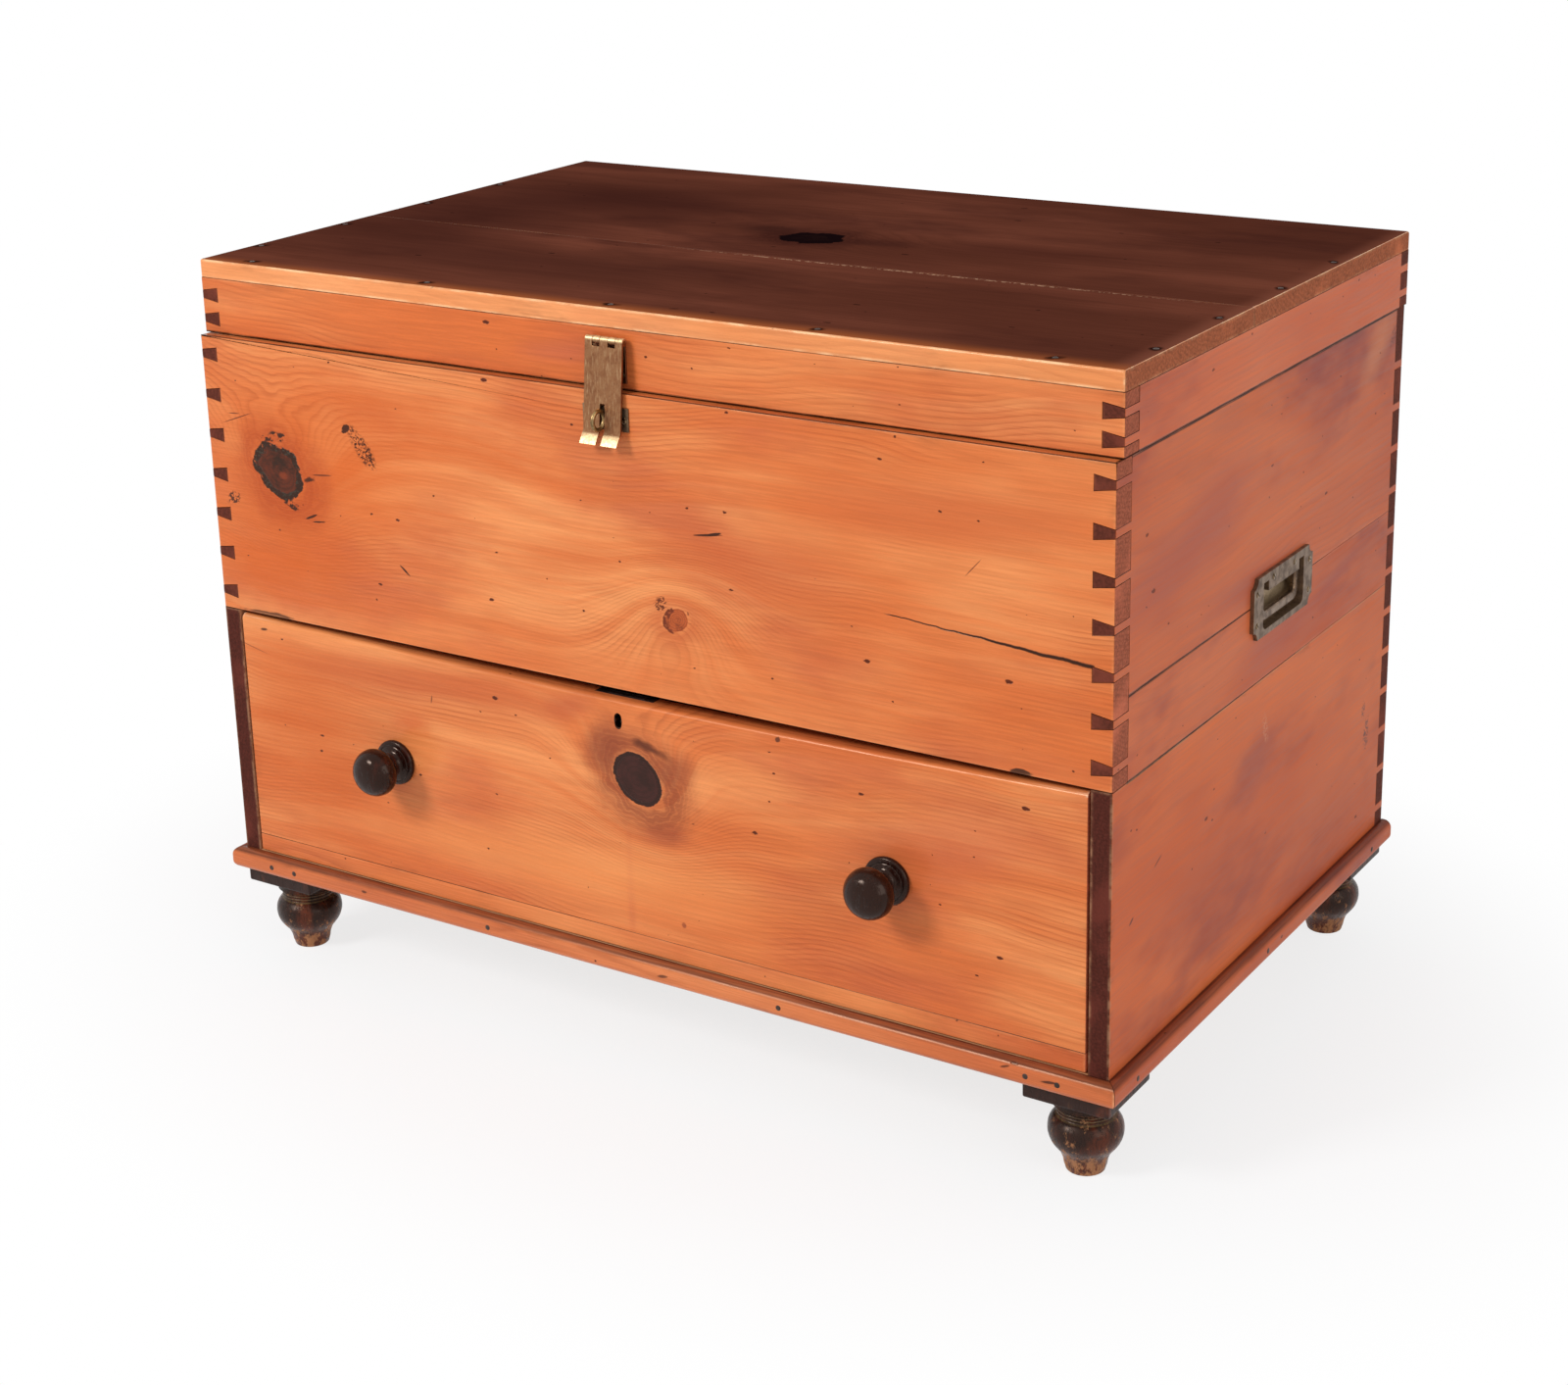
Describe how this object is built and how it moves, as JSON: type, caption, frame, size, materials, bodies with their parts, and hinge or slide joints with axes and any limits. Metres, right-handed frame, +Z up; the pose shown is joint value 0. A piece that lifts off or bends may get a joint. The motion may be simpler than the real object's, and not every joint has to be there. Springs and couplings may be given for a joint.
{
  "type": "mule chest",
  "caption": "Dovetailed lidded chest with a long drawer below, turned knobs and feet, a brass hasp and flush side handles.",
  "frame": {"origin": "on the floor, at the centre of the chest's overall footprint", "axes": "+X to the right of someone facing the drawer, +Y to the back, +Z up"},
  "size_m": [1.0232, 0.7043, 0.7406],
  "materials": {
    "camphor_wood": "warm orange-red hardwood, waxed, with fine grain, dark knots and worn edges",
    "inner_wood": "the same wood unwaxed, inside the chest and drawer",
    "ebonised_wood": "dark stained turned wood with a soft shine, worn pale at the toes",
    "aged_brass": "aged brown brass, brighter on edges and corners",
    "iron": "dark plain iron, dull"
  },
  "bodies": {
    "carcase": {"back_lower_board": "camphor_wood", "back_middle_board": "camphor_wood", "back_upper_board": "camphor_wood", "base_board": "inner_wood", "base_moulding_front": "camphor_wood", "base_moulding_left": "camphor_wood", "base_moulding_right": "camphor_wood", "carcase_screws": "aged_brass", "case_front_board": "camphor_wood", "chest_floor": "inner_wood", "drawer_stops": "inner_wood", "floor_cleats": "inner_wood", "foot_block_front_left": "ebonised_wood", "foot_block_front_right": "ebonised_wood", "foot_block_rear_left": "ebonised_wood", "foot_block_rear_right": "ebonised_wood", "handle_tray_left": "aged_brass", "handle_tray_right": "aged_brass", "hinge_lower_leaf_left": "aged_brass", "hinge_lower_leaf_right": "aged_brass", "hinge_pins": "aged_brass", "moulding_nails": "iron", "side_left_lower_board": "camphor_wood", "side_left_middle_board": "camphor_wood", "side_left_upper_board": "camphor_wood", "side_right_lower_board": "camphor_wood", "side_right_middle_board": "camphor_wood", "side_right_upper_board": "camphor_wood", "staple": "aged_brass", "staple_plate": "aged_brass", "turned_foot_front_left": "ebonised_wood", "turned_foot_front_right": "ebonised_wood", "turned_foot_rear_left": "ebonised_wood", "turned_foot_rear_right": "ebonised_wood"},
    "lid": {"hasp_leaf": "aged_brass", "hasp_pin": "aged_brass", "hinge_upper_leaf_left": "aged_brass", "hinge_upper_leaf_right": "aged_brass", "lid_front_board": "camphor_wood", "lid_nails": "iron", "lid_rear_board": "camphor_wood", "lid_rim_back": "camphor_wood", "lid_rim_front": "camphor_wood", "lid_rim_left": "camphor_wood", "lid_rim_right": "camphor_wood", "lid_screws": "aged_brass"},
    "hasp": {"hasp_strap": "aged_brass"},
    "drawer": {"drawer_back": "inner_wood", "drawer_bottom": "inner_wood", "drawer_front": "camphor_wood", "drawer_front_strip": "camphor_wood", "drawer_side_left": "inner_wood", "drawer_side_right": "inner_wood", "knob_left": "ebonised_wood", "knob_right": "ebonised_wood", "lock_case": "iron", "lock_screws": "iron"},
    "lock_bolt": {"lock_bolt": "iron"},
    "bail_left": {"handle_bail_left": "aged_brass"},
    "bail_right": {"handle_bail_right": "aged_brass"}
  },
  "joints": [
    {"name": "lid_hinge", "type": "hinge", "parent": "carcase", "child": "lid", "pos_m": [0, 0.3478, 0.6665], "axis": [-1, 0, 0], "range_deg": [0, 100]},
    {"name": "hasp_hinge", "type": "hinge", "parent": "lid", "child": "hasp", "pos_m": [-0.004, -0.2979, 0.712], "axis": [-1, 0, 0], "range_deg": [0, 165]},
    {"name": "drawer_slide", "type": "slide", "parent": "carcase", "child": "drawer", "axis": [0, -1, 0], "range_m": [0, 0.42]},
    {"name": "bail_hinge_right", "type": "hinge", "parent": "carcase", "child": "bail_right", "pos_m": [0.497, 0.045, 0.473], "axis": [0, -1, 0], "range_deg": [0, 90]},
    {"name": "bail_hinge_left", "type": "hinge", "parent": "carcase", "child": "bail_left", "pos_m": [-0.497, 0.045, 0.473], "axis": [0, 1, 0], "range_deg": [0, 90]},
    {"name": "lock_bolt_slide", "type": "slide", "parent": "drawer", "child": "lock_bolt", "axis": [0, 0, 1], "range_m": [0, 0.018]}
  ]
}
